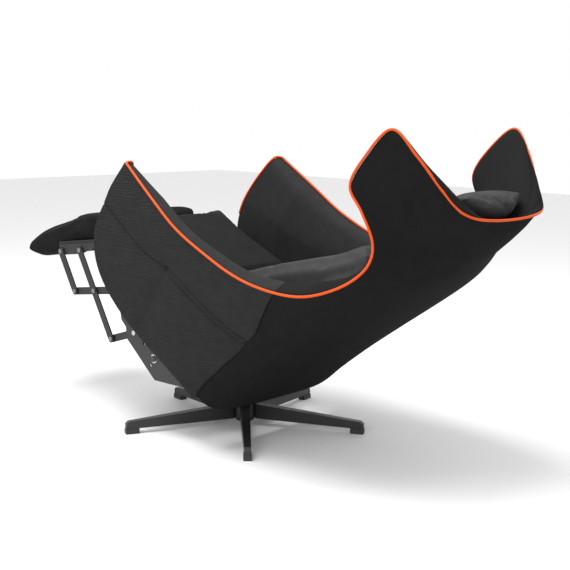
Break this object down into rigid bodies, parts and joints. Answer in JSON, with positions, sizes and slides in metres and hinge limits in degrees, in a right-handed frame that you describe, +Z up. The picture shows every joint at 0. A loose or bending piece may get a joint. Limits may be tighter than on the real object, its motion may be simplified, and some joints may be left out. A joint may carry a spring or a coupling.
{
  "type": "swivel gaming recliner with linked footrest",
  "caption": "Winged swivel recliner drawn fully reclined with its footrest out: padded shell with orange piping on a black star base.",
  "frame": {"origin": "floor level, under the middle of the reclined chair", "axes": "+Z up, the sitter faces -Y, +X is the sitter's left"},
  "size_m": [0.7117, 1.6082, 0.8638],
  "materials": {
    "black_powder_coat": "satin",
    "bright_steel": "satin",
    "black_screws": "satin",
    "bronze_bush": "satin",
    "glide_plastic": "matte",
    "birch_board": "matte",
    "dust_cloth": "matte",
    "ribbed_fabric": "matte",
    "plain_fabric": "matte",
    "cushion_fabric": "matte",
    "orange_piping": "matte"
  },
  "bodies": {
    "base": {"base_hub": "black_powder_coat", "base_leg_1": "black_powder_coat", "base_leg_2": "black_powder_coat", "base_leg_3": "black_powder_coat", "base_leg_4": "black_powder_coat", "base_leg_5": "black_powder_coat", "foot_glides": "glide_plastic", "leg_bolts": "black_screws", "spindle": "bright_steel", "spindle_circlip": "bright_steel"},
    "swivel_frame": {"thrust_washer": "bright_steel", "swivel_sleeve": "black_powder_coat", "swivel_plate": "black_powder_coat", "recline_cheek_left": "black_powder_coat", "recline_cheek_right": "black_powder_coat", "recline_bushes": "bronze_bush"},
    "seat_shell": {"side_plate_left": "black_powder_coat", "side_plate_right": "black_powder_coat", "recline_shaft": "bright_steel", "shaft_screws": "black_screws", "front_cross_tube": "black_powder_coat", "rear_cross_tube": "black_powder_coat", "rear_link_pins": "bright_steel", "seat_board": "dust_cloth", "seat_cushion": "cushion_fabric", "back_support": "birch_board", "back_cushion": "cushion_fabric", "head_pillow": "cushion_fabric", "arm_left": "ribbed_fabric", "arm_right": "ribbed_fabric", "seat_bucket": "plain_fabric", "back_panel": "plain_fabric", "wing_left": "plain_fabric", "wing_right": "plain_fabric", "edge_piping": "orange_piping"},
    "drive_links": {"footrest_shaft": "bright_steel", "drive_link_left": "black_powder_coat", "drive_link_right": "black_powder_coat", "drive_link_pins": "bright_steel"},
    "long_links": {"long_link_left": "black_powder_coat", "long_link_right": "black_powder_coat", "long_link_pins": "bright_steel"},
    "front_links": {"front_link_left": "black_powder_coat", "front_link_right": "black_powder_coat", "front_link_pins": "bright_steel"},
    "rear_links": {"rear_link_left": "black_powder_coat", "rear_link_right": "black_powder_coat"},
    "footrest": {"footrest_bracket_left": "black_powder_coat", "footrest_bracket_right": "black_powder_coat", "footrest_board": "dust_cloth", "footrest_screws": "bright_steel", "footrest_pad": "cushion_fabric"}
  },
  "joints": [
    {"name": "swivel", "type": "hinge", "parent": "base", "child": "swivel_frame", "pos_m": [0, -0.0441, 0.1], "axis": [0, 0, 1], "continuous": true},
    {"name": "recline", "type": "hinge", "parent": "swivel_frame", "child": "seat_shell", "pos_m": [0, -0.1941, 0.2], "axis": [1, 0, 0], "range_deg": [0, 20]},
    {"name": "footrest", "type": "hinge", "parent": "seat_shell", "child": "drive_links", "pos_m": [0, -0.36791, 0.37303], "axis": [1, 0, 0], "range_deg": [0, 64]},
    {"name": "long_link_pivot", "type": "hinge", "parent": "drive_links", "child": "long_links", "pos_m": [0, -0.4571, 0.361], "axis": [1, 0, 0], "range_deg": [-60.92, 0]},
    {"name": "front_link_pivot", "type": "hinge", "parent": "drive_links", "child": "front_links", "pos_m": [0, -0.5461, 0.349], "axis": [1, 0, 0], "range_deg": [-60.92, 0]},
    {"name": "rear_link_pivot", "type": "hinge", "parent": "seat_shell", "child": "rear_links", "pos_m": [0, -0.2767, 0.26208], "axis": [1, 0, 0], "range_deg": [0, 52.98]},
    {"name": "bracket_pivot", "type": "hinge", "parent": "long_links", "child": "footrest", "pos_m": [0, -0.5221, 0.475], "axis": [1, 0, 0], "range_deg": [0, 60.92]}
  ],
  "couplings": [
    {"joint": "long_link_pivot", "follows": "footrest", "ratio": -0.944},
    {"joint": "front_link_pivot", "follows": "footrest", "ratio": -0.944},
    {"joint": "bracket_pivot", "follows": "footrest", "ratio": 0.944},
    {"joint": "rear_link_pivot", "follows": "footrest", "ratio": 0.82}
  ]
}
